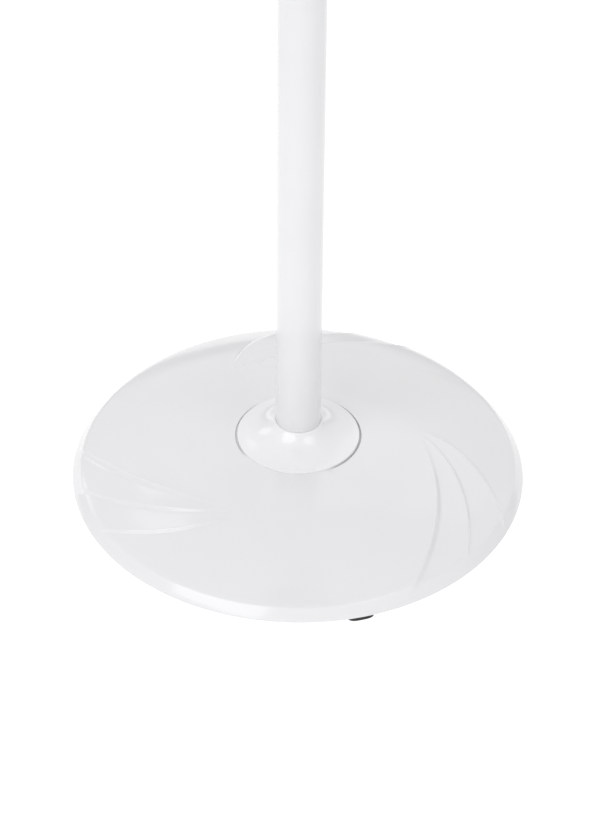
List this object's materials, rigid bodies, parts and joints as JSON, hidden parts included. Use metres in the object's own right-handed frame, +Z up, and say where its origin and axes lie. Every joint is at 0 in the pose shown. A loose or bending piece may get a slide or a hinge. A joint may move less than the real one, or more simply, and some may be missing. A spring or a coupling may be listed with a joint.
{
  "type": "hood hair dryer",
  "caption": "Floor-standing salon hair dryer: weighted round base with fans of ridges, telescopic pole, tilting hood with flip-up visor and rear fan housing.",
  "frame": {"origin": "on the floor, under the middle of the dryer's overall length and width", "axes": "+Z up, the hood reaches towards -Y, the controls face +X"},
  "size_m": [0.4032, 0.6132, 1.375],
  "materials": {
    "white_enamel": "glossy white stoved enamel",
    "gloss_white_plastic": "glossy moulded white plastic",
    "grey_plastic": "fine-textured grey plastic",
    "dark_plastic": "satin near-black plastic",
    "bowl_plastic": "satin pale grey heat-resistant plastic",
    "smoked_clear": "clear smoked acrylic",
    "black_rubber": "black rubber",
    "chromed_steel": "bright chromed tube",
    "plated_steel": "zinc-plated steel",
    "cast_iron": "black-painted casting",
    "cast_aluminium": "fine-blasted cast aluminium",
    "mica": "pressed mica board",
    "heating_wire": "dull oxidised resistance wire",
    "amber_lens": "clear amber lens"
  },
  "bodies": {
    "stand": {"base_cover": "gloss_white_plastic", "base_weight": "cast_iron", "base_plate": "plated_steel", "pole_socket": "plated_steel", "base_bolt": "plated_steel", "base_collar": "gloss_white_plastic", "foot_1": "black_rubber", "foot_2": "black_rubber", "foot_3": "black_rubber", "foot_4": "black_rubber", "foot_5": "black_rubber", "lower_pole": "white_enamel", "clamp_sleeve": "grey_plastic"},
    "clamp_knob": {"clamp_knob": "dark_plastic"},
    "mast": {"upper_pole": "chromed_steel", "guide_bush": "dark_plastic"},
    "bracket": {"yoke": "cast_aluminium", "swivel_screw": "plated_steel", "tilt_pin": "plated_steel"},
    "tilt_knob": {"tilt_knob": "dark_plastic"},
    "head": {"tilt_lug": "cast_aluminium", "rear_housing": "gloss_white_plastic", "intake_grille": "grey_plastic", "grille_screw_1": "plated_steel", "grille_screw_2": "plated_steel", "grille_screw_3": "plated_steel", "grille_screw_4": "plated_steel", "lint_filter": "dark_plastic", "motor": "plated_steel", "motor_mount": "dark_plastic", "fan_shroud": "cast_aluminium", "heater_frame": "mica", "heater_coil_1": "heating_wire", "heater_coil_2": "heating_wire", "thermal_cut_out": "plated_steel", "control_panel": "grey_plastic", "terminal_block": "dark_plastic", "cable_gland": "dark_plastic", "pilot_lamp": "amber_lens", "rocker_body": "dark_plastic", "timer_unit": "dark_plastic", "heat_unit": "dark_plastic", "hood_shell": "gloss_white_plastic", "hood_bowl": "bowl_plastic", "air_diffuser": "bowl_plastic", "hood_rim": "grey_plastic", "visor_pivot_right": "grey_plastic", "visor_pivot_left": "grey_plastic"},
    "fan": {"motor_shaft": "plated_steel", "impeller": "grey_plastic"},
    "visor": {"visor": "smoked_clear"},
    "timer_knob": {"timer_knob": "dark_plastic"},
    "heat_knob": {"heat_knob": "dark_plastic"},
    "rocker_switch": {"rocker_switch": "dark_plastic"}
  },
  "joints": [
    {"name": "height_slide", "type": "slide", "parent": "stand", "child": "mast", "axis": [0, 0, 1], "range_m": [0, 0.22]},
    {"name": "clamp_knob_turn", "type": "hinge", "parent": "stand", "child": "clamp_knob", "pos_m": [0, 0.10488, 0.774], "axis": [1, 0, 0], "range_deg": [0, 360]},
    {"name": "hood_swivel", "type": "hinge", "parent": "mast", "child": "bracket", "pos_m": [0, 0.10488, 1.04], "axis": [0, 0, 1], "range_deg": [-90, 90]},
    {"name": "hood_tilt", "type": "hinge", "parent": "bracket", "child": "head", "pos_m": [0, 0.10488, 1.075], "axis": [1, 0, 0], "range_deg": [-30, 15]},
    {"name": "tilt_knob_turn", "type": "hinge", "parent": "bracket", "child": "tilt_knob", "pos_m": [0, 0.10488, 1.075], "axis": [1, 0, 0], "range_deg": [0, 360]},
    {"name": "fan_spin", "type": "hinge", "parent": "head", "child": "fan", "pos_m": [0, 0.10488, 1.2], "axis": [0, 1, 0], "continuous": true},
    {"name": "visor_flip", "type": "hinge", "parent": "head", "child": "visor", "pos_m": [0, -0.11512, 1.19], "axis": [1, 0, 0], "range_deg": [-75, 0]},
    {"name": "timer_turn", "type": "hinge", "parent": "head", "child": "timer_knob", "pos_m": [0, 0.11988, 1.222], "axis": [-1, 0, 0], "range_deg": [0, 300]},
    {"name": "heat_turn", "type": "hinge", "parent": "head", "child": "heat_knob", "pos_m": [0, 0.15788, 1.222], "axis": [-1, 0, 0], "range_deg": [0, 270]},
    {"name": "power_rocker", "type": "hinge", "parent": "head", "child": "rocker_switch", "pos_m": [0.1, 0.11988, 1.176], "axis": [0, 1, 0], "range_deg": [0, 12]}
  ]
}
